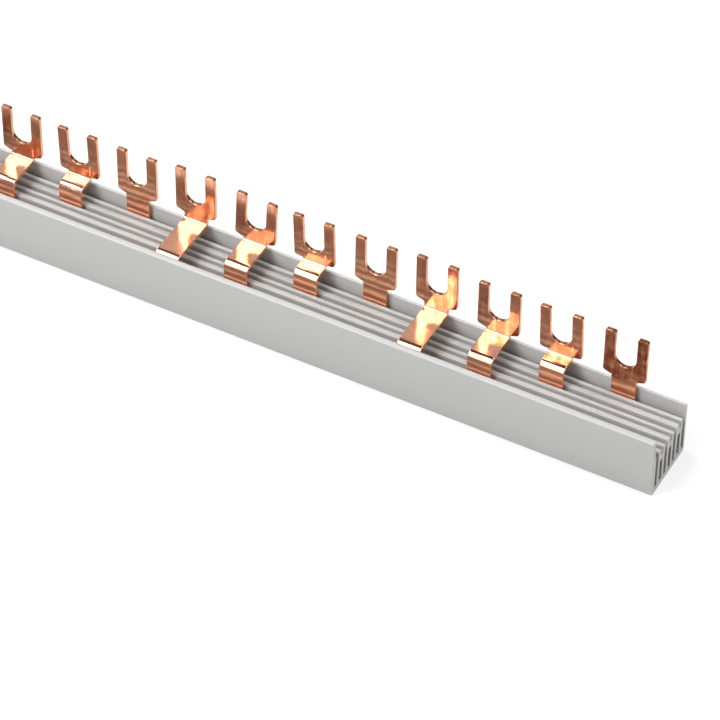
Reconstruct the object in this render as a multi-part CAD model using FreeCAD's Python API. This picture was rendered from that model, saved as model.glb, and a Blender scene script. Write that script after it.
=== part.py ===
import FreeCAD, Part
import math
import os

# A comb busbar: an extruded insulating profile whose slots hold one punched
# and bent copper comb strip per pole. Every strip carries fork terminals, and
# the forks of all strips line up in one row at the module pitch.
# Frame: X along the length, -Y the front, +Y the back, Z up. The origin is the
# centre of the flat base. All sizes are in millimetres.

# row of forks
modulePitch = 17.8
poleCount = 4
teethPerPole = 3
endMargin = 17.0

# copper comb strips
stripThickness = 1.2
stripHeight = 8.0
stripSetback = 3.0
legWidth = 6.9
legRootRadius = 0.8
bendInnerRadius = 0.4

# fork terminals; the heights chain up and down from the bottom of the fork slot
slotBottomHeight = 22.65
prongLength = 10.8
forkWidth = 11.9
forkSlotWidth = 6.1
shoulderDepth = 3.0
shoulderRadius = 0.9
tipRadius = 0.3
# the foremost pole's forks stand this much above the rest of the row
frontForkLift = 1.1
# fall of the shoulders to the leg, then the straight neck down to the strap
shoulderDrop = 0.95
neckLength = 0.55
# the same two on the pole next to the rearmost one, whose strap lies higher
shortStrapShoulderDrop = 0.3
shortStrapNeckLength = 0.45

# insulating profile, seen in section
poleStep = 5.2
firstSlotDepth = 3.3
stripClearance = 0.1
baseThickness = 1.6
backWall = 0.8
backWallHeight = 16.3
frontWall = 1.75
frontWallHeight = 19.25
frontLean = 1.1
webHeight = 13.0
webThickness = 1.1
crownWidth = 1.6
grooveWidth = 1.1
grooveDepth = 2.2
bridgeThickness = 1.7
bottomFrontRadius = 1.0
bottomBackRadius = 0.5
frontLipRadius = 0.4
backLipRadius = 0.25
crownRadius = 0.5
ridgeRadius = 0.35
innerRadius = 0.2

slotWidth = stripThickness + 2 * stripClearance
toothCount = poleCount * teethPerPole
profileLength = (toothCount - 1) * modulePitch + 2 * endMargin
profileDepth = firstSlotDepth + (poleCount - 1) * poleStep + slotWidth / 2 + backWall
frontFace = -profileDepth / 2


def slotCentre(pole):
    """Place along Y of the middle of a pole's slot, counted from the front."""
    return frontFace + firstSlotDepth + pole * poleStep


def stripFront(pole):
    """Place along Y of the front face of the strip in a pole's slot."""
    return slotCentre(pole) - stripThickness / 2


def toothCentres(pole):
    """Places along X of a pole's teeth, from right to left.

    The tooth at the right end belongs to the rearmost pole, the next one to the
    pole in front of it, and so on round the poles.
    """
    first = poleCount - 1 - pole
    right = profileLength / 2 - endMargin
    return [right - (first + poleCount * i) * modulePitch for i in range(teethPerPole)]


def forkLift(pole):
    """Height of a pole's forks above the common row."""
    return frontForkLift if pole == 0 else 0.0


def neckHeight(pole):
    """Height at which a pole's shoulders meet the leg."""
    drop = shortStrapShoulderDrop if pole == poleCount - 2 else shoulderDrop
    return slotBottomHeight + forkLift(pole) - shoulderDepth - drop


def strapTop(pole):
    """Height of the upper face of the strap that carries a fork back."""
    straight = shortStrapNeckLength if pole == poleCount - 2 else neckLength + forkLift(pole)
    return neckHeight(pole) - straight


def roundedWire(corners, place):
    """Closed wire round corners (u, v, radius), each rounded by its own radius.

    place turns a pair u, v into a point in space. Each arc runs through the
    tangent point on the side before its corner, the arc's middle on the
    bisector, and the tangent point on the side after it.
    """
    ends = []
    for i, (u, v, radius) in enumerate(corners):
        if radius == 0:
            ends.append([place(u, v)])
            continue
        corner = FreeCAD.Vector(u, v, 0)
        before = FreeCAD.Vector(*corners[i - 1][:2], 0) - corner
        after = FreeCAD.Vector(*corners[(i + 1) % len(corners)][:2], 0) - corner
        before.normalize()
        after.normalize()
        halfAngle = before.getAngle(after) / 2
        run = radius / math.tan(halfAngle)
        bisector = before + after
        bisector.normalize()
        middle = corner + bisector * (radius / math.sin(halfAngle) - radius)
        start = corner + before * run
        end = corner + after * run
        ends.append([place(p.x, p.y) for p in (start, middle, end)])
    edges = []
    for i, points in enumerate(ends):
        if len(points) == 3:
            edges.append(Part.Arc(*points).toShape())
        following = ends[(i + 1) % len(ends)][0]
        if points[-1].distanceToPoint(following) > 1e-6:
            edges.append(Part.LineSegment(points[-1], following).toShape())
    return Part.Wire(edges)


def sectionOutline():
    """Corners of the profile's section: base, back wall, webs, front wall."""
    back = frontFace + profileDepth
    half = slotWidth / 2
    corners = [
        (frontFace + frontLean, 0, bottomFrontRadius),
        (back, 0, bottomBackRadius),
        (back, backWallHeight, backLipRadius),
        (back - backWall, backWallHeight, backLipRadius),
        (back - backWall, baseThickness, stripClearance),
    ]
    for pole in range(poleCount - 1, 0, -1):
        rear = slotCentre(pole) - half
        front = slotCentre(pole - 1) + half
        grooveFront = front + crownWidth
        grooveBack = grooveFront + grooveWidth
        grooveFloor = webHeight - grooveDepth
        corners += [
            (rear, baseThickness, stripClearance),
            (rear, webHeight, ridgeRadius),
            (grooveBack, webHeight, ridgeRadius),
            (grooveBack, grooveFloor, innerRadius),
            (grooveFront, grooveFloor, innerRadius),
            (grooveFront, webHeight, ridgeRadius),
            (front, webHeight, crownRadius),
            (front, baseThickness, stripClearance),
        ]
    nearSide = slotCentre(0) - half
    corners += [
        (nearSide, baseThickness, stripClearance),
        (nearSide, webHeight, ridgeRadius),
        (frontFace + frontWall, webHeight, innerRadius),
        (frontFace + frontWall, frontWallHeight, frontLipRadius),
        (frontFace, frontWallHeight, frontLipRadius),
    ]
    return corners


def hollowOutline(pole):
    """Corners of the closed hollow between the two webs in front of a pole's slot."""
    front = slotCentre(pole - 1) + slotWidth / 2 + webThickness
    rear = slotCentre(pole) - slotWidth / 2 - webThickness
    top = webHeight - grooveDepth - bridgeThickness
    return [
        (front, baseThickness, innerRadius),
        (rear, baseThickness, innerRadius),
        (rear, top, innerRadius),
        (front, top, innerRadius),
    ]


def insulatingProfile():
    """The extrusion: one section with its hollows, carried along the whole length."""
    def place(y, z):
        return FreeCAD.Vector(-profileLength / 2, y, z)

    section = Part.Face(roundedWire(sectionOutline(), place))
    for pole in range(1, poleCount):
        section = section.cut(Part.Face(roundedWire(hollowOutline(pole), place)))
    return section.Faces[0].extrude(FreeCAD.Vector(profileLength, 0, 0))


def sheet(corners, front):
    """Upright sheet of the strip's thickness, cut to corners in X and Z."""
    wire = roundedWire(corners, lambda x, z: FreeCAD.Vector(x, front, z))
    return Part.Face(wire).extrude(FreeCAD.Vector(0, stripThickness, 0))


def comb(pole, legTop):
    """The bar in a pole's slot, with its legs punched up to the height legTop."""
    reach = profileLength / 2 - stripSetback
    top = baseThickness + stripHeight
    corners = [
        (-reach, top, 0),
        (-reach, baseThickness, 0),
        (reach, baseThickness, 0),
        (reach, top, 0),
    ]
    for centre in toothCentres(pole):
        right = centre + legWidth / 2
        left = centre - legWidth / 2
        corners += [
            (right, top, legRootRadius),
            (right, legTop, 0),
            (left, legTop, 0),
            (left, top, legRootRadius),
        ]
    return sheet(corners, stripFront(pole))


def strap(pole, centre):
    """Doubly bent stretch of a tooth: up, back over the profile and up again."""
    front = stripFront(pole)
    rear = stripFront(poleCount - 1)
    top = strapTop(pole)
    under = top - stripThickness
    outer = bendInnerRadius + stripThickness
    corners = [
        (front, top - outer, 0),
        (front, top, outer),
        (rear, top, bendInnerRadius),
        (rear, top + bendInnerRadius, 0),
        (rear + stripThickness, top + bendInnerRadius, 0),
        (rear + stripThickness, under, outer),
        (front + stripThickness, under, bendInnerRadius),
        (front + stripThickness, top - outer, 0),
    ]
    left = centre - legWidth / 2
    section = roundedWire(corners, lambda y, z: FreeCAD.Vector(left, y, z))
    return Part.Face(section).extrude(FreeCAD.Vector(legWidth, 0, 0))


def fork(pole, centre, bottom):
    """Fork terminal: sloped shoulders on the leg, two prongs, a round-ended slot."""
    slotBottom = slotBottomHeight + forkLift(pole)
    slotRadius = forkSlotWidth / 2
    rightSide = [
        (legWidth / 2, bottom, 0),
        (legWidth / 2, neckHeight(pole), 0),
        (forkWidth / 2, slotBottom - shoulderDepth, shoulderRadius),
        (forkWidth / 2, slotBottom + prongLength, tipRadius),
        (slotRadius, slotBottom + prongLength, tipRadius),
        (slotRadius, slotBottom, slotRadius),
    ]
    corners = [(centre + x, z, radius) for x, z, radius in rightSide]
    corners += [(centre - x, z, radius) for x, z, radius in reversed(rightSide)]
    return sheet(corners, stripFront(poleCount - 1))


def combStrip(pole):
    """One pole's conductor: its comb, then a strap and a fork on every leg.

    The rearmost pole's forks stand straight above its slot and need no strap.
    """
    if pole == poleCount - 1:
        legTop = neckHeight(pole) - neckLength
        pieces = [fork(pole, centre, legTop) for centre in toothCentres(pole)]
    else:
        legTop = strapTop(pole) - bendInnerRadius - stripThickness
        forkBottom = strapTop(pole) + bendInnerRadius
        pieces = [strap(pole, centre) for centre in toothCentres(pole)]
        pieces += [fork(pole, centre, forkBottom) for centre in toothCentres(pole)]
    return comb(pole, legTop).fuse(pieces).removeSplitter().Solids[0]


os.makedirs("parts", exist_ok=True)
insulatingProfile().exportStep("parts/insulating_profile.step")
for pole in range(poleCount):
    combStrip(pole).exportStep(f"parts/comb_strip_{pole + 1}.step")
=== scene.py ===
import math

import bpy
import numpy as np
from mathutils import Matrix, Vector, geometry


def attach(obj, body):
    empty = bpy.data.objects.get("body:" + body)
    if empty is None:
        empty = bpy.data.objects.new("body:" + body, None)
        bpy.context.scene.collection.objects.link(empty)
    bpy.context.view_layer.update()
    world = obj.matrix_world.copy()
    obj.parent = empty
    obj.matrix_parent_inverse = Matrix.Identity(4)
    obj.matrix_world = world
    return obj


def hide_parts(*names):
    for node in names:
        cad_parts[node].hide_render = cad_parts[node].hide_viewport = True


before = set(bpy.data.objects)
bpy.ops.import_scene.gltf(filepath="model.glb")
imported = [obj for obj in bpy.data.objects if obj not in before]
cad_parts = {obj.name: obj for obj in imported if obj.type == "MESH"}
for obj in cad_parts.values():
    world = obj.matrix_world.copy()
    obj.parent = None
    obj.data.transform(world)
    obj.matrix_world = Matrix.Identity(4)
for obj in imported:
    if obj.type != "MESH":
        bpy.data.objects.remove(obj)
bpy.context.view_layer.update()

# A comb busbar for modular switchgear: a light grey extruded profile whose
# slots hold four bent copper comb strips with fork terminals in one row.
# All lengths are in metres; the frame is the CAD's, X along the profile.

mm = 0.001
sameSpot = 1e-8  # points nearer than this are one
sharpEdge = math.radians(30)  # edges bent more than this are shaded sharp

# sizes shared by the profile and the strips
busbar = dict(
    modulePitch=17.8 * mm,
    poleCount=4,
    teethPerPole=3,
    endMargin=17.0 * mm,
    poleStep=5.2 * mm,
    firstSlotDepth=3.3 * mm,
    slotWidth=1.4 * mm,
    backWall=0.8 * mm,
    baseThickness=1.6 * mm,
)
toothCount = busbar["poleCount"] * busbar["teethPerPole"]
length = (toothCount - 1) * busbar["modulePitch"] + 2 * busbar["endMargin"]
depth = (busbar["firstSlotDepth"] + (busbar["poleCount"] - 1) * busbar["poleStep"]
         + busbar["slotWidth"] / 2 + busbar["backWall"])
frontFace = -depth / 2


def slotCentre(pole):
    # place along Y of a pole's slot, counted from the front
    return frontFace + busbar["firstSlotDepth"] + pole * busbar["poleStep"]


def roundedOutline(corners, arcSteps):
    # closed outline through corners (u, v, radius); an arc's points are its
    # centre plus the radius turned from one tangent point to the other
    corners = np.asarray(corners, float)
    pieces = []
    for i, (u, v, radius) in enumerate(corners):
        corner = np.array([u, v])
        if radius == 0:
            pieces.append(corner[None])
            continue
        before = corners[i - 1, :2] - corner
        after = corners[(i + 1) % len(corners), :2] - corner
        before /= np.linalg.norm(before)
        after /= np.linalg.norm(after)
        half = math.acos(np.clip(before @ after, -1, 1)) / 2
        bisector = (before + after) / np.linalg.norm(before + after)
        centre = corner + bisector * radius / math.sin(half)
        start = corner + before * radius / math.tan(half) - centre
        end = corner + after * radius / math.tan(half) - centre
        turn = math.atan2(start[0] * end[1] - start[1] * end[0], start @ end)
        angle = math.atan2(start[1], start[0]) + np.linspace(0, turn, arcSteps + 1)
        pieces.append(centre + radius * np.stack([np.cos(angle), np.sin(angle)], 1))
    outline = np.concatenate(pieces)
    apart = np.linalg.norm(outline - np.roll(outline, 1, 0), axis=1) > sameSpot
    return outline[apart]


def makeMesh(name, vertices, faces, materials, faceSlots=None, faceTarnishAndShade=None, normals=None):
    # a mesh object at the origin from whole arrays, shaded by the normals given,
    # or else smooth except at sharp edges
    mesh = bpy.data.meshes.new(name)
    mesh.from_pydata(np.asarray(vertices).tolist(), [], faces)
    for material in materials:
        mesh.materials.append(material)
    if faceSlots is not None:
        mesh.polygons.foreach_set("material_index", np.asarray(faceSlots, np.int32))
    # the amount of tarnish and painted shade, one value for each face
    if faceTarnishAndShade is not None:
        values = mesh.attributes.new("tarnishAndShade", "FLOAT", "FACE")
        values.data.foreach_set("value", np.asarray(faceTarnishAndShade, np.float32))
    mesh.polygons.foreach_set("use_smooth", np.ones(len(mesh.polygons), bool))
    mesh.validate()
    mesh.update()
    if normals is None:
        mesh.set_sharp_from_angle(angle=sharpEdge)
    else:
        mesh.normals_split_custom_set_from_vertices(np.asarray(normals).tolist())
    piece = bpy.data.objects.new(name, mesh)
    bpy.context.scene.collection.objects.link(piece)
    return piece


def newGroup(name, inputs, outputs):
    # a shader node group with named sockets, each name with its socket type
    group = bpy.data.node_groups.new(name, "ShaderNodeTree")
    for direction, sockets in (("INPUT", inputs), ("OUTPUT", outputs)):
        for socket, kind in sockets.items():
            group.interface.new_socket(name=socket, in_out=direction, socket_type=kind)
    return group, group.nodes.new("NodeGroupInput"), group.nodes.new("NodeGroupOutput")


def addMath(tree, operation, a, b=None, c=None):
    # a Math node whose inputs are sockets or plain numbers
    node = tree.nodes.new("ShaderNodeMath")
    node.operation = operation
    for i, value in enumerate((a, b, c)):
        if value is None:
            continue
        if isinstance(value, (int, float)):
            node.inputs[i].default_value = value
        else:
            tree.links.new(value, node.inputs[i])
    return node.outputs[0]


def addNoise(tree, vector, scale, detail, roughness=0.55, distortion=0.0):
    # the value of a noise, about 0 to 1, with scale patches to a unit of vector
    node = tree.nodes.new("ShaderNodeTexNoise")
    node.inputs["Scale"].default_value = scale
    node.inputs["Detail"].default_value = detail
    node.inputs["Roughness"].default_value = roughness
    node.inputs["Distortion"].default_value = distortion
    tree.links.new(vector, node.inputs["Vector"])
    return node.outputs["Fac"]


def addStretch(tree, vector, scale):
    # coordinates scaled by an amount for each axis, which stretches what reads them
    node = tree.nodes.new("ShaderNodeMapping")
    if isinstance(scale, tuple):
        node.inputs["Scale"].default_value = scale
    else:
        tree.links.new(scale, node.inputs["Scale"])
    tree.links.new(vector, node.inputs["Vector"])
    return node.outputs["Vector"]


def addMix(tree, factor, a, b):
    # colour a where the factor is 0, b where it is 1
    node = tree.nodes.new("ShaderNodeMix")
    node.data_type = "RGBA"
    tree.links.new(factor, node.inputs["Factor"])
    node.inputs["A"].default_value = a
    node.inputs["B"].default_value = b
    return node.outputs["Result"]


def makeDrawnLines():
    # lines left by drawing or rolling: noise stretched by the grain, plus soft
    # waves; height = lines x their height + waves x theirs
    group, inside, out = newGroup(
        "drawnLines",
        {
            "Vector": "NodeSocketVector",
            "Grain": "NodeSocketVector",
            "Wave Grain": "NodeSocketVector",
            "Line Height": "NodeSocketFloat",
            "Wave Height": "NodeSocketFloat",
        },
        {"Lines": "NodeSocketFloat", "Waves": "NodeSocketFloat", "Height": "NodeSocketFloat"},
    )
    vector = inside.outputs["Vector"]
    grain = addStretch(group, vector, inside.outputs["Grain"])
    lines = addNoise(group, grain, 1.0, detail=3.0)
    waveGrain = addStretch(group, vector, inside.outputs["Wave Grain"])
    waves = addNoise(group, waveGrain, 1.0, detail=1.0)
    height = addMath(group, "MULTIPLY", lines, inside.outputs["Line Height"])
    height = addMath(group, "MULTIPLY_ADD", waves, inside.outputs["Wave Height"], height)
    group.links.new(lines, out.inputs["Lines"])
    group.links.new(waves, out.inputs["Waves"])
    group.links.new(height, out.inputs["Height"])
    return group


def newMaterial(name):
    # a material, its nodes, its shader and its object coordinates
    material = bpy.data.materials.new(name)
    material.use_nodes = True
    tree = material.node_tree
    shader = tree.nodes["Principled BSDF"]
    coordinates = tree.nodes.new("ShaderNodeTexCoord")
    return material, tree, shader, coordinates.outputs["Object"]


def addGroup(tree, group, vector):
    # a node for the group, with its coordinates joined up
    node = tree.nodes.new("ShaderNodeGroup")
    node.node_tree = group
    tree.links.new(vector, node.inputs["Vector"])
    return node


def addLines(tree, vector, look):
    # the drawn lines with one look's grain and heights
    node = addGroup(tree, drawnLines, vector)
    node.inputs["Grain"].default_value = look["grain"]
    node.inputs["Wave Grain"].default_value = look["waveGrain"]
    node.inputs["Line Height"].default_value = look["lineHeight"]
    node.inputs["Wave Height"].default_value = look["waveHeight"]
    return node


def addBump(tree, shader, height, distance, lean=(0, 0, 0)):
    # the height's normal plus lean, at unit length
    bump = tree.nodes.new("ShaderNodeBump")
    bump.inputs["Distance"].default_value = distance
    tree.links.new(height, bump.inputs["Height"])
    normal = bump.outputs["Normal"]
    if any(lean):
        turned = tree.nodes.new("ShaderNodeVectorMath")
        turned.operation = "ADD"
        turned.inputs[1].default_value = lean
        tree.links.new(normal, turned.inputs[0])
        unit = tree.nodes.new("ShaderNodeVectorMath")
        unit.operation = "NORMALIZE"
        tree.links.new(turned.outputs["Vector"], unit.inputs[0])
        normal = unit.outputs["Vector"]
    tree.links.new(normal, shader.inputs["Normal"])


drawnLines = makeDrawnLines()

plasticLook = dict(
    light=(0.525, 0.525, 0.515, 1),
    dark=(0.485, 0.485, 0.475, 1),
    grain=(12, 2600, 2600),
    waveGrain=(150, 150, 150),
    lineHeight=0.5,
    waveHeight=0.5,
    lineShare=0.6,
    speckShare=0.4,
    speckScale=900.0,
    roughness=0.36,
    roughnessRise=0.12,
    bumpDistance=0.02 * mm,
)


def makePlastic(name, look):
    # light grey extruded plastic with die lines along X. Dark share = lines x
    # their share + specks x theirs; roughness rises with the waves.
    material, tree, shader, vector = newMaterial(name)
    lines = addLines(tree, vector, look)
    speck = addNoise(tree, vector, look["speckScale"], detail=2.0)
    tone = addMath(tree, "MULTIPLY", lines.outputs["Lines"], look["lineShare"])
    tone = addMath(tree, "MULTIPLY_ADD", speck, look["speckShare"], tone)
    tree.links.new(addMix(tree, tone, look["light"], look["dark"]), shader.inputs["Base Color"])
    waves = lines.outputs["Waves"]
    rough = addMath(tree, "MULTIPLY_ADD", waves, look["roughnessRise"], look["roughness"])
    tree.links.new(rough, shader.inputs["Roughness"])
    addBump(tree, shader, lines.outputs["Height"], look["bumpDistance"])
    return material


# bright is clean metal and brown its tarnish, on some forks also painted shade; grain
# stretches the fine lines and waveGrain the soft waves; lean is added to the shading's normal
copperLook = dict(
    brown=(0.38, 0.10, 0.045, 1),
    grain=(12, 2600, 2600),
    waveGrain=(150, 150, 150),
    lineHeight=0.10,
    waveHeight=0.9,
    roughness=0.09,
    tarnishRoughness=0.12,
    bumpDistance=0.25 * mm,
    lean=(0, 0, 0),
)
# the straps' shading leans 2.6 degrees to the front
strapLook = dict(copperLook, bright=(0.95, 0.50, 0.33, 1), lean=(0, -0.045, 0))
# legs and bars are redder
legLook = dict(copperLook, bright=(0.98, 0.465, 0.28, 1), brown=(0.41, 0.12, 0.055, 1))
forkLook = dict(
    copperLook,
    bright=(0.95, 0.48, 0.30, 1),
    grain=(2200, 2200, 60),
    waveGrain=(330, 330, 60),
    bumpDistance=0.1 * mm,
)
# the punched edges are duller and have no grain
cutLook = dict(
    copperLook,
    bright=(0.90, 0.44, 0.26, 1),
    brown=(0.34, 0.10, 0.045, 1),
    grain=(1500, 1500, 1500),
    waveHeight=0.4,
    roughness=0.15,
    bumpDistance=0.04 * mm,
)
# the tarnish's patches are clean below one value of the noise, full above the other
tarnishLook = dict(
    patchScale=330.0,
    patchShare=0.6,
    streakGrain=(1300, 1300, 150),
    streakShare=0.4,
    cleanBelow=0.36,
    fullAbove=0.64,
    evenCover=0.4,
    patchCover=1.2,
)


def makeTarnishAndShade(look):
    # mask = amount x (even cover + patch cover x patches), never above 1; the amount is
    # tarnish, and on some forks also painted shade that darkens what they mirror; the
    # patches are distorted noise and streaks, mixed by their shares and cut softly
    group, inside, out = newGroup(
        "tarnishAndShade",
        {"Vector": "NodeSocketVector", "Amount": "NodeSocketFloat"},
        {"Mask": "NodeSocketFloat"},
    )
    vector = inside.outputs["Vector"]
    coarse = addNoise(group, vector, look["patchScale"], detail=6.0, roughness=0.62, distortion=0.5)
    streaks = addNoise(group, addStretch(group, vector, look["streakGrain"]), 1.0, detail=3.0)
    streaks = addMath(group, "MULTIPLY", streaks, look["streakShare"])
    blend = addMath(group, "MULTIPLY_ADD", coarse, look["patchShare"], streaks)
    patches = group.nodes.new("ShaderNodeMapRange")
    patches.interpolation_type = "SMOOTHSTEP"
    patches.inputs["From Min"].default_value = look["cleanBelow"]
    patches.inputs["From Max"].default_value = look["fullAbove"]
    group.links.new(blend, patches.inputs["Value"])
    cover = patches.outputs["Result"]
    mask = addMath(group, "MULTIPLY_ADD", cover, look["patchCover"], look["evenCover"])
    mask = addMath(group, "MULTIPLY", mask, inside.outputs["Amount"])
    group.links.new(addMath(group, "MINIMUM", mask, 1.0), out.inputs["Mask"])
    return group


tarnishAndShade = makeTarnishAndShade(tarnishLook)


def makeCopper(name, look):
    # bare copper: fine lines, soft waves, brown and rougher where tarnished or painted in
    # shade; the amount of tarnish and painted shade is the mesh's own face attribute
    material, tree, shader, vector = newMaterial(name)
    shader.inputs["Metallic"].default_value = 1.0
    lines = addLines(tree, vector, look)
    amount = tree.nodes.new("ShaderNodeAttribute")
    amount.attribute_name = "tarnishAndShade"
    patches = addGroup(tree, tarnishAndShade, vector)
    tree.links.new(amount.outputs["Fac"], patches.inputs["Amount"])
    mask = patches.outputs["Mask"]
    tree.links.new(addMix(tree, mask, look["bright"], look["brown"]), shader.inputs["Base Color"])
    rough = addMath(tree, "MULTIPLY_ADD", mask, look["tarnishRoughness"], look["roughness"])
    tree.links.new(rough, shader.inputs["Roughness"])
    addBump(tree, shader, lines.outputs["Height"], look["bumpDistance"], look["lean"])
    return material


plastic = makePlastic("lightGreyPlastic", plasticLook)
strapCopper = makeCopper("polishedCopper", strapLook)
cutCopper = makeCopper("punchedCopper", cutLook)
forkCopper = makeCopper("brushedCopper", forkLook)
legCopper = makeCopper("rolledCopper", legLook)
print("materials made")

profileSizes = dict(
    frontWall=1.75 * mm,
    frontWallHeight=19.25 * mm,
    frontLean=1.1 * mm,
    backWallHeight=16.3 * mm,
    webHeight=13.0 * mm,
    webThickness=1.1 * mm,
    crownWidth=1.6 * mm,
    grooveWidth=1.1 * mm,
    grooveDepth=2.2 * mm,
    bridgeThickness=1.7 * mm,
    bottomFrontRadius=1.0 * mm,
    bottomBackRadius=0.5 * mm,
    frontLipRadius=0.4 * mm,
    backLipRadius=0.25 * mm,
    crownRadius=0.5 * mm,
    ridgeRadius=0.35 * mm,
    innerRadius=0.2 * mm,
    slotFloorRadius=0.1 * mm,
    arcSteps=6,
    hollowArcSteps=4,
)


def profileSection(p):
    # corners of the section: base, back wall, webs from back to front, front wall;
    # and those of the closed hollows, one between each pair of slots
    back = -frontFace
    half = busbar["slotWidth"] / 2
    base = busbar["baseThickness"]
    inner, ridge, seat = p["innerRadius"], p["ridgeRadius"], p["slotFloorRadius"]
    corners = [
        (frontFace + p["frontLean"], 0, p["bottomFrontRadius"]),
        (back, 0, p["bottomBackRadius"]),
        (back, p["backWallHeight"], p["backLipRadius"]),
        (back - busbar["backWall"], p["backWallHeight"], p["backLipRadius"]),
        (back - busbar["backWall"], base, seat),
    ]
    hollows = []
    top = p["webHeight"]
    grooveFloor = top - p["grooveDepth"]
    for pole in range(busbar["poleCount"] - 1, 0, -1):
        rear = slotCentre(pole) - half
        front = slotCentre(pole - 1) + half
        grooveFront = front + p["crownWidth"]
        grooveBack = grooveFront + p["grooveWidth"]
        corners += [
            (rear, base, seat),
            (rear, top, ridge),
            (grooveBack, top, ridge),
            (grooveBack, grooveFloor, inner),
            (grooveFront, grooveFloor, inner),
            (grooveFront, top, ridge),
            (front, top, p["crownRadius"]),
            (front, base, seat),
        ]
        ceiling = grooveFloor - p["bridgeThickness"]
        hollows.append([
            (front + p["webThickness"], base, inner),
            (front + p["webThickness"], ceiling, inner),
            (rear - p["webThickness"], ceiling, inner),
            (rear - p["webThickness"], base, inner),
        ])
    nearSide = slotCentre(0) - half
    corners += [
        (nearSide, base, seat),
        (nearSide, top, ridge),
        (frontFace + p["frontWall"], top, inner),
        (frontFace + p["frontWall"], p["frontWallHeight"], p["frontLipRadius"]),
        (frontFace, p["frontWallHeight"], p["frontLipRadius"]),
    ]
    return corners, hollows


def fillLoops(loops):
    # triangles that fill the first loop less the others, turned round if the cross
    # products of their sides say that they are clockwise
    points = np.concatenate(loops)
    rims = [[Vector((u, v, 0)) for u, v in loop] for loop in loops]
    filled = np.array(geometry.tessellate_polygon(rims))
    corner = points[filled]
    side1 = corner[:, 1] - corner[:, 0]
    side2 = corner[:, 2] - corner[:, 0]
    area = side1[:, 0] * side2[:, 1] - side1[:, 1] * side2[:, 0]
    return filled if area.sum() > 0 else filled[:, ::-1]


def makeProfile(p):
    # the section's loops carried from one end to the other, with filled ends
    corners, hollows = profileSection(p)
    loops = [roundedOutline(corners, p["arcSteps"])]
    loops += [roundedOutline(hollow, p["hollowArcSteps"]) for hollow in hollows]
    section = np.concatenate(loops)
    count = len(section)
    ends = np.array([-length / 2, length / 2])
    vertices = np.empty((2, count, 3))
    vertices[:, :, 0] = ends[:, None]
    vertices[:, :, 1:] = section
    faces = []
    first = 0
    for loop in loops:
        here = first + np.arange(len(loop))
        following = first + (np.arange(len(loop)) + 1) % len(loop)
        faces += np.stack([here, following, following + count, here + count], 1).tolist()
        first += len(loop)
    cap = fillLoops(loops)
    faces += (cap + count).tolist() + cap[:, ::-1].tolist()
    piece = makeMesh("insulatingProfile", vertices.reshape(-1, 3), faces, [plastic])
    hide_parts("insulating_profile")
    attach(piece, "root")


makeProfile(profileSizes)
print("profile made")

stripSizes = dict(
    thickness=1.2 * mm,
    height=8.0 * mm,
    setback=3.0 * mm,
    endRadius=0.3 * mm,
    legWidth=6.9 * mm,
    legRootRadius=0.8 * mm,
    frontBendRadius=1.0 * mm,
    rearBendRadius=0.7 * mm,
    edgeRoll=0.2 * mm,
    rollSteps=3,
    arcSteps=6,
    bendSteps=10,
)
forkSizes = dict(
    slotBottomHeight=22.65 * mm,
    prongLength=10.8 * mm,
    width=11.9 * mm,
    slotWidth=6.1 * mm,
    shoulderDepth=3.0 * mm,
    shoulderRadius=0.9 * mm,
    neckRadius=0.25 * mm,
    tipRadius=0.6 * mm,
    tipLength=1.3 * mm,  # the end of a prong, where the edges are rolled less
    tipRollShare=0.35,
    turnedIn=1.5 * mm,  # a fork's small turn is complete this far above the strap
    standing=0.1 * mm,  # straight sheet below the rearmost pole's forks
    arcSteps=8,
    # front pole to rear pole
    lift=[1.1 * mm, 0, 0, 0],
    shoulderDrop=[0.95 * mm, 0.95 * mm, 0.3 * mm, 0.95 * mm],
    neckLength=[1.65 * mm, 0.55 * mm, 0.45 * mm, 0.55 * mm],
)
# how the real teeth differ, by tooth from the right
teethMarks = dict(
    # degrees that single forks are turned by in their own plane
    turn={1: 1.6, 4: -0.6, 5: 1.8, 6: -2.6, 9: 1.5},
    # how far single forks' shading leans to look up, as a tangent
    lookUp={4: 0.025, 5: 0.05, 6: 0.095, 7: 0.075, 8: 0.035, 9: 0.03, 10: 0.05},
    # how brown each fork is: its tarnish, and on some forks also painted shade that darkens
    # what they mirror; its strap has a share of that, bars and legs their own
    tarnishAndShade=[0.75, 0.28, 0.32, 0.36, 0.20, 0.27, 0.34, 0.34, 0.12, 0.28, 0.28, 0.3],
    strapShare=0.4,
    barTarnish=0.08,
)
# the strips' materials and their numbers
stripMaterials = [strapCopper, cutCopper, forkCopper, legCopper]
strapSlot, cutSlot, forkSlot, legSlot = range(len(stripMaterials))


def slotBottom(pole):
    # height of the bottom of a pole's fork slots
    return forkSizes["slotBottomHeight"] + forkSizes["lift"][pole]


def neckHeight(pole):
    # height at which a pole's shoulders meet the leg
    return slotBottom(pole) - forkSizes["shoulderDepth"] - forkSizes["shoulderDrop"][pole]


def stripFront(pole):
    # place along Y of the front face of the strip in a pole's slot
    return slotCentre(pole) - stripSizes["thickness"] / 2


def combOutline(centres, legTop):
    # the bar with its legs, seen from the front, anticlockwise
    s = stripSizes
    reach = length / 2 - s["setback"]
    bottom = busbar["baseThickness"]
    top = bottom + s["height"]
    end = s["endRadius"]
    corners = [(-reach, top, end), (-reach, bottom, end), (reach, bottom, end), (reach, top, end)]
    for centre in centres:
        right, left = centre + s["legWidth"] / 2, centre - s["legWidth"] / 2
        corners += [
            (right, top, s["legRootRadius"]),
            (right, legTop, 0),
            (left, legTop, 0),
            (left, top, s["legRootRadius"]),
        ]
    return roundedOutline(corners, s["arcSteps"])


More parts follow.
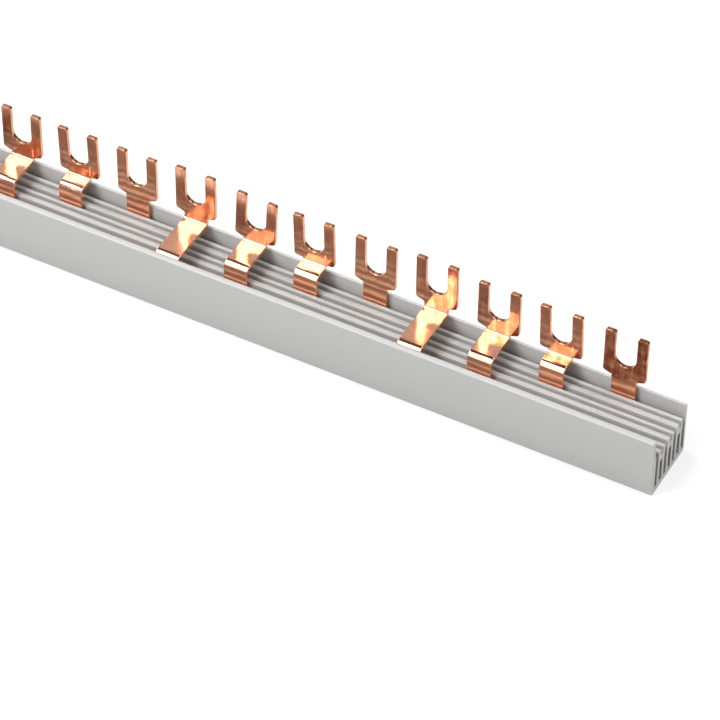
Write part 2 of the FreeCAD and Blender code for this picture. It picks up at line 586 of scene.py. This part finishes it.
def forkOutline(pole, centre, bottom):
    # right half from the leg up round the prong to the slot, then its mirror
    f = forkSizes
    leg, side, slotRadius = stripSizes["legWidth"] / 2, f["width"] / 2, f["slotWidth"] / 2
    tip = slotBottom(pole) + f["prongLength"]
    half = [
        (leg, bottom, 0),
        (leg, neckHeight(pole), f["neckRadius"]),
        (side, slotBottom(pole) - f["shoulderDepth"], f["shoulderRadius"]),
        (side, tip - f["tipLength"], 0),
        (side, tip, f["tipRadius"]),
        (slotRadius, tip, f["tipRadius"]),
        (slotRadius, tip - f["tipLength"], 0),
        (slotRadius, slotBottom(pole), slotRadius),
    ]
    corners = [(centre + x, z, r) for x, z, r in half]
    corners += [(centre - x, z, r) for x, z, r in reversed(half)]
    return roundedOutline(corners, f["arcSteps"])


def rollRows(s):
    # rows over a sheet's edge from front to back, by quarter turns of the roll's
    # radius: how far in, how far off the nearer face (forwards is negative), and
    # the normal's share outwards and backwards
    angle = np.linspace(0, math.pi / 2, s["rollSteps"] + 1)
    inset = 1 - np.sin(angle)
    deep = 1 - np.cos(angle)
    return dict(
        inset=s["edgeRoll"] * np.concatenate([inset, inset[::-1]]),
        offFace=s["edgeRoll"] * np.concatenate([deep, -deep[::-1]]),
        atBack=s["thickness"] * np.repeat([0, 1], len(angle)),
        outwards=np.concatenate([np.sin(angle), np.sin(angle[::-1])]),
        backwards=np.concatenate([-np.cos(angle), np.cos(angle[::-1])]),
    )


rolled = rollRows(stripSizes)
rowCount = len(rolled["inset"])
edgeWall = rowCount // 2 - 1  # the wall between the two rolls: the punched edge


def makeSheet(outline, isOpen, front, rollShare):
    # a flat sheet with rolled edges from its outline; open edges get no wall. A
    # vertex moves in along the mitre of its walls' normals, their sum over 1 plus
    # their product, and the share makes its roll smaller.
    r = rolled
    along = np.roll(outline, -1, 0) - outline
    along /= np.linalg.norm(along, axis=1)[:, None]
    after = np.stack([along[:, 1], -along[:, 0]], 1)
    before = np.roll(after, 1, 0)
    wallBefore = np.where(np.roll(isOpen, 1)[:, None], after, before)
    wallAfter = np.where(isOpen[:, None], before, after)
    mitre = (wallBefore + wallAfter) / (1 + (wallBefore * wallAfter).sum(1))[:, None]
    out = mitre / np.linalg.norm(mitre, axis=1)[:, None]
    count = len(outline)
    inset = r["inset"][:, None] * rollShare
    place = outline - mitre * inset[:, :, None]
    y = front + r["offFace"][:, None] * rollShare + r["atBack"][:, None]
    vertices = np.stack([place[:, :, 0], y, place[:, :, 1]], 2).reshape(-1, 3)
    normals = np.stack([
        r["outwards"][:, None] * out[:, 0],
        np.repeat(r["backwards"][:, None], count, 1),
        r["outwards"][:, None] * out[:, 1],
    ], 2).reshape(-1, 3)
    here = np.arange(count)[~isOpen]
    following = (here + 1) % count
    row = np.arange(rowCount - 1)[:, None] * count
    walls = np.stack([row + here, row + here + count, row + following + count, row + following], 2)
    isCut = np.repeat(np.arange(rowCount - 1) == edgeWall, len(here))
    cap = fillLoops([place[0]])
    faces = walls.reshape(-1, 4).tolist() + cap.tolist()
    faces += (cap[:, ::-1] + (rowCount - 1) * count).tolist()
    isCut = np.concatenate([isCut, np.zeros(2 * len(cap), bool)])
    return vertices, normals, faces, isCut


def strapRows(pole, strapTop):
    # front and back points of the double bend in Y and Z: two quarter turns
    # about their centres, the thickness apart
    s = stripSizes
    inner, rearInner = s["frontBendRadius"], s["rearBendRadius"]
    outer, rearOuter = inner + s["thickness"], rearInner + s["thickness"]
    rear = stripFront(busbar["poleCount"] - 1)
    turn = np.linspace(0, math.pi / 2, s["bendSteps"] + 1)
    first = np.array([stripFront(pole) + outer, strapTop - outer])
    second = np.array([rear - rearInner, strapTop + rearInner])
    rise = np.stack([-np.cos(turn), np.sin(turn)], 1)
    sweep = np.stack([np.sin(turn), -np.cos(turn)], 1)
    rowsFront = np.concatenate([first + outer * rise, second + rearInner * sweep])
    rowsBack = np.concatenate([first + inner * rise, second + rearOuter * sweep])
    return rowsFront, rowsBack


def makeStrap(pole, right, left, strapTop):
    # rings round the strap between its two ends, one for each row of the double
    # bend: along its right edge from front to back and its left one back again,
    # each point on the line from the row's front point to its back point
    s, r = stripSizes, rolled
    rowsFront, rowsBack = strapRows(pole, strapTop)
    rowsFront, rowsBack = rowsFront[1:-1], rowsBack[1:-1]
    facing = (rowsFront - rowsBack) / s["thickness"]
    deep = r["offFace"] + r["atBack"]
    deep = np.concatenate([deep, deep[::-1]])
    backwards = np.concatenate([r["backwards"], r["backwards"][::-1]])
    vertices = np.empty((len(facing), 2 * rowCount, 3))
    normals = np.empty_like(vertices)
    vertices[:, :, 0] = np.concatenate([right - r["inset"], (left + r["inset"])[::-1]])
    vertices[:, :, 1:] = rowsFront[:, None] - facing[:, None] * deep[:, None]
    normals[:, :, 0] = np.concatenate([r["outwards"], -r["outwards"][::-1]])
    normals[:, :, 1:] = -facing[:, None] * backwards[:, None]
    return vertices.reshape(-1, 3), normals.reshape(-1, 3)


def makeFork(pole, tooth, centre, bottom):
    # a fork's sheet, open at the bottom, turned about its neck by the tooth's own
    # small angle, which grows from nothing at the bottom
    f = forkSizes
    plate = forkOutline(pole, centre, bottom)
    tipStart = slotBottom(pole) + f["prongLength"] - f["tipLength"]
    rollShare = np.where(plate[:, 1] > tipStart + sameSpot, f["tipRollShare"], 1.0)
    turn = math.radians(teethMarks["turn"].get(tooth, 0))
    spin = np.array([[math.cos(turn), math.sin(turn)], [-math.sin(turn), math.cos(turn)]])
    arm = plate - (centre, neckHeight(pole))
    grip = np.clip((plate[:, 1:] - bottom) / f["turnedIn"], 0, 1)
    plate = plate + grip * (arm @ spin - arm)
    isOpen = np.arange(len(plate)) == len(plate) - 1
    rear = stripFront(busbar["poleCount"] - 1)
    vertices, normals, faces, isCut = makeSheet(plate, isOpen, rear, rollShare)
    normals[:, 2] += teethMarks["lookUp"].get(tooth, 0)
    return vertices, normals, faces, isCut


def makeStrip(pole):
    # one closed skin: the comb's sheet, then for each tooth a fork's sheet and the
    # bent tube between the two
    s = stripSizes
    last = busbar["poleCount"] - 1
    teeth = [last - pole + busbar["poleCount"] * i for i in range(busbar["teethPerPole"])]
    centres = [length / 2 - busbar["endMargin"] - k * busbar["modulePitch"] for k in teeth]
    strapTop = neckHeight(pole) - forkSizes["neckLength"][pole]
    isStraight = pole == last
    if isStraight:
        legTop = strapTop
        forkBottom = strapTop + forkSizes["standing"]
    else:
        legTop = strapTop - s["frontBendRadius"] - s["thickness"]
        forkBottom = strapTop + s["rearBendRadius"]
    vertices, normals, faces, slots, shades = [], [], [], [], []
    total = 0

    def add(points, directions, corners, isCut, slot, shade):
        nonlocal total
        vertices.append(points)
        normals.append(directions)
        faces.extend([[corner + total for corner in face] for face in corners])
        slots.extend(np.where(isCut, cutSlot, slot).tolist())
        shades.extend([shade] * len(corners))
        total += len(points)
        return total - len(points)

    outline = combOutline(centres, legTop)
    atTop = abs(outline[:, 1] - legTop) < sameSpot
    isOpen = atTop & np.roll(atTop, -1)
    sheet = makeSheet(outline, isOpen, stripFront(pole), np.ones(len(outline)))
    add(*sheet, legSlot, teethMarks["barTarnish"])
    down = np.arange(rowCount)
    for tooth, centre in zip(teeth, centres):
        # the tooth's amount of tarnish and painted shade
        shade = teethMarks["tarnishAndShade"][tooth]
        right, left = centre + s["legWidth"] / 2, centre - s["legWidth"] / 2
        corner = int(np.argmin(abs(outline[:, 0] - right) + abs(outline[:, 1] - legTop)))
        # each ring starts at the front of the right edge, the first at the leg's end
        leg = down * len(outline) + corner
        rings = [np.concatenate([leg, leg[::-1] + 1])]

        fork = makeFork(pole, tooth, centre, forkBottom)
        start = add(*fork, forkSlot, shade)
        count = len(fork[0]) // rowCount
        foot = start + down * count

        if not isStraight:
            start = add(*makeStrap(pole, right, left, strapTop), [], [], strapSlot, shade)
            rings += list(np.arange(start, total).reshape(-1, 2 * rowCount))
            shade *= teethMarks["strapShare"]
        rings.append(np.concatenate([foot, foot[::-1] + count - 1]))
        rings = np.array(rings)
        low, high = rings[:-1], rings[1:]
        quads = np.stack([low, np.roll(low, -1, 1), np.roll(high, -1, 1), high], 2).reshape(-1, 4)
        isEdge = np.arange(2 * rowCount) % rowCount == edgeWall
        ringSlots = np.where(isEdge, cutSlot, legSlot if isStraight else strapSlot)
        faces.extend(quads.tolist())
        slots.extend(np.tile(ringSlots, len(low)).tolist())
        shades.extend([shade] * len(quads))

    normals = np.concatenate(normals)
    normals /= np.linalg.norm(normals, axis=1)[:, None]
    piece = makeMesh(f"combStrip{pole + 1}", np.concatenate(vertices), faces,
                     stripMaterials, slots, shades, normals)
    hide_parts(f"comb_strip_{pole + 1}")
    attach(piece, "root")


for pole in range(busbar["poleCount"]):
    makeStrip(pole)
print("comb strips made")

view = dict(
    location=(0.3711, -0.65075, 0.70481),
    target=(0.03471, -0.01462, 0.015),
    roll=0.7565,
    lens=195.956,
    sensor=36.0,
    clip=(0.01, 20),
)


def makeCamera(v):
    # looks from its location at the target, then rolls about its own axis
    data = bpy.data.cameras.new("camera")
    data.sensor_fit = "HORIZONTAL"
    data.sensor_width = v["sensor"]
    data.lens = v["lens"]
    data.clip_start, data.clip_end = v["clip"]
    camera = bpy.data.objects.new("camera", data)
    bpy.context.scene.collection.objects.link(camera)
    place = Vector(v["location"])
    aim = (Vector(v["target"]) - place).to_track_quat("-Z", "Y").to_matrix()
    roll = Matrix.Rotation(math.radians(v["roll"]), 3, "Z")
    camera.matrix_world = Matrix.Translation(place) @ (aim @ roll).to_4x4()
    bpy.context.scene.camera = camera


makeCamera(view)
print("camera placed")

floor = dict(size=6.0, colour=(0.45, 0.45, 0.45, 1), roughness=0.9, glow=0.58)
middle = (0.02, 0, 0.015)  # what most of the lamps are aimed at
# each lamp's place, aim, width and height, and power in watts
lamps = dict(
    keySoftbox=dict(
        location=(-0.37, -0.50, 0.87), aim=middle, size=(0.39, 0.53), power=7.6),
    frontSoftbox=dict(
        location=(-0.10, -0.88, 0.47), aim=middle, size=(0.72, 0.60), power=2.9),
    topSoftbox=dict(
        location=(0.42, 0.30, 0.88), aim=(0.00, 0, 0.015), size=(0.50, 0.50), power=4.2),
    leftSoftbox=dict(
        location=(-0.72, 0.22, 0.72), aim=middle, size=(0.45, 0.45), power=3.8),
    rightSoftbox=dict(
        location=(1.00, 0.16, 0.40), aim=(0.05, 0, 0.015), size=(0.50, 0.50), power=2.6),
    backPanel=dict(
        location=(-0.36, 0.63, 0.72), aim=middle, size=(0.75, 0.36), power=0.50),
)
# the room seen around the object: pale in the direction faced, dark away from it
surroundings = dict(
    faced=(-0.75, -0.6, -0.3),
    pale=(0.40, 0.40, 0.40, 1),
    dim=(0.08, 0.08, 0.08, 1),
    dimAt=-0.35,
    paleAt=0.55,
)


def makeFloor(f):
    # a square at height 0 that glows for the rays that show it: camera,
    # transmission and glossy rays
    half = f["size"] / 2
    corners = [(-half, -half, 0), (half, -half, 0), (half, half, 0), (-half, half, 0)]
    material = bpy.data.materials.new("paleFloor")
    material.use_nodes = True
    tree = material.node_tree
    shader = tree.nodes["Principled BSDF"]
    shader.inputs["Base Color"].default_value = f["colour"]
    shader.inputs["Roughness"].default_value = f["roughness"]
    shader.inputs["Specular IOR Level"].default_value = 0.0
    shader.inputs["Emission Color"].default_value = (1, 1, 1, 1)
    path = tree.nodes.new("ShaderNodeLightPath").outputs
    seen = addMath(tree, "MAXIMUM", path["Is Camera Ray"], path["Is Transmission Ray"])
    seen = addMath(tree, "MAXIMUM", seen, path["Is Glossy Ray"])
    glow = addMath(tree, "MULTIPLY", seen, f["glow"])
    tree.links.new(glow, shader.inputs["Emission Strength"])
    makeMesh("floor", corners, [[0, 1, 2, 3]], [material])


def makeLamps(lamps):
    # soft rectangles, each turned from its place to its aim
    for name, lamp in lamps.items():
        data = bpy.data.lights.new(name, "AREA")
        data.shape = "RECTANGLE"
        data.size, data.size_y = lamp["size"]
        data.energy = lamp["power"]
        light = bpy.data.objects.new(name, data)
        bpy.context.scene.collection.objects.link(light)
        place = Vector(lamp["location"])
        turn = (Vector(lamp["aim"]) - place).to_track_quat("-Z", "Y").to_matrix()
        light.matrix_world = Matrix.Translation(place) @ turn.to_4x4()


def makeWorld(s):
    # dim to pale, softly, as a direction's share along the side faced grows
    world = bpy.data.worlds.new("studio")
    world.use_nodes = True
    tree = world.node_tree
    direction = tree.nodes.new("ShaderNodeTexCoord").outputs["Generated"]
    facing = tree.nodes.new("ShaderNodeVectorMath")
    facing.operation = "DOT_PRODUCT"
    facing.inputs[1].default_value = Vector(s["faced"]).normalized()
    tree.links.new(direction, facing.inputs[0])
    ramp = tree.nodes.new("ShaderNodeMapRange")
    ramp.interpolation_type = "SMOOTHSTEP"
    ramp.inputs["From Min"].default_value = s["dimAt"]
    ramp.inputs["From Max"].default_value = s["paleAt"]
    tree.links.new(facing.outputs["Value"], ramp.inputs["Value"])
    colour = addMix(tree, ramp.outputs["Result"], s["dim"], s["pale"])
    tree.links.new(colour, tree.nodes["Background"].inputs["Color"])
    bpy.context.scene.world = world


makeFloor(floor)
makeLamps(lamps)
makeWorld(surroundings)
bpy.context.scene.view_settings.view_transform = "Standard"
print("floor, lamps and surroundings made")
